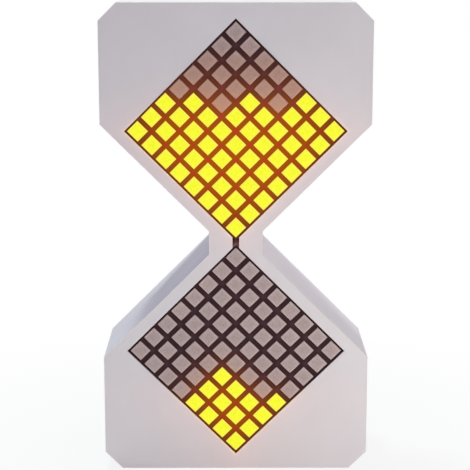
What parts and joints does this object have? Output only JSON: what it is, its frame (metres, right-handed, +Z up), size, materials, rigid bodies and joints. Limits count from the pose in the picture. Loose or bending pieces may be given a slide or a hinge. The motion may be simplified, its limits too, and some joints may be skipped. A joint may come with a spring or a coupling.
{
  "type": "electronic hourglass timer",
  "caption": "Hourglass-shaped desk timer: white chamfered case with square LED dot displays turned on their corners, lit yellow like running sand.",
  "frame": {"origin": "middle of the flat lower end that the timer stands on", "axes": "+Z up along the height, front display towards -Y, +X to the viewer's right"},
  "size_m": [0.0548, 0.0226, 0.0972],
  "materials": {
    "white_plastic": "smooth moulded white plastic",
    "screw_steel": "plated steel",
    "main_board": "black solder mask",
    "dark_face": "dark printed face",
    "housing_plastic": "pale moulded plastic",
    "pixel_lit": "lit diffusing resin",
    "pixel_unlit": "unlit diffusing resin",
    "led_die": "bare LED die",
    "module_board": "green circuit board",
    "pin_metal": "tinned metal",
    "chip_black": "moulded chip package",
    "can_steel": "pressed steel",
    "capacitor_body": "ceramic chip part",
    "cell_pouch": "foil pouch",
    "foam": "double-sided foam",
    "wire_red": "wire insulation",
    "wire_black": "wire insulation",
    "phenolic": "phenolic base",
    "black_plastic": "moulded black plastic",
    "button_plastic": "moulded light grey plastic",
    "plunger_plastic": "moulded plastic",
    "ball_brass": "plated ball"
  },
  "bodies": {
    "case": {"front_shell": "white_plastic", "back_cover": "white_plastic", "cover_screws": "screw_steel", "board_screws": "screw_steel", "main_board": "main_board", "upper_face": "dark_face", "upper_housing": "housing_plastic", "upper_lit_pixels": "pixel_lit", "upper_unlit_pixels": "pixel_unlit", "upper_dies": "led_die", "upper_base": "module_board", "upper_pins": "pin_metal", "lower_face": "dark_face", "lower_housing": "housing_plastic", "lower_lit_pixels": "pixel_lit", "lower_unlit_pixels": "pixel_unlit", "lower_dies": "led_die", "lower_base": "module_board", "lower_pins": "pin_metal", "driver_chip": "chip_black", "driver_leads": "pin_metal", "controller_chip": "chip_black", "controller_leads": "pin_metal", "charger_chip": "chip_black", "charger_leads": "pin_metal", "crystal": "can_steel", "capacitors": "capacitor_body", "resistors": "chip_black", "buzzer": "chip_black", "cell": "cell_pouch", "cell_pad": "foam", "red_lead": "wire_red", "black_lead": "wire_black", "usb_shell": "can_steel", "usb_tongue": "chip_black", "switch_base": "phenolic", "switch_frame": "can_steel", "push_base": "black_plastic", "tilt_can": "can_steel", "tilt_base": "black_plastic", "tilt_pins": "pin_metal"},
    "power_lever": {"switch_lever": "black_plastic"},
    "set_button": {"set_button": "button_plastic", "push_plunger": "plunger_plastic"},
    "tilt_ball": {"tilt_ball": "ball_brass"}
  },
  "joints": [
    {"name": "power_slide", "type": "slide", "parent": "case", "child": "power_lever", "axis": [1, 0, 0], "range_m": [0, 0.002]},
    {"name": "button_press", "type": "slide", "parent": "case", "child": "set_button", "axis": [0, -1, 0], "range_m": [0, 0.00035], "stiffness_N_per_m": 4000},
    {"name": "ball_roll", "type": "slide", "parent": "case", "child": "tilt_ball", "axis": [0, 0, 1], "range_m": [0, 0.0035]}
  ]
}
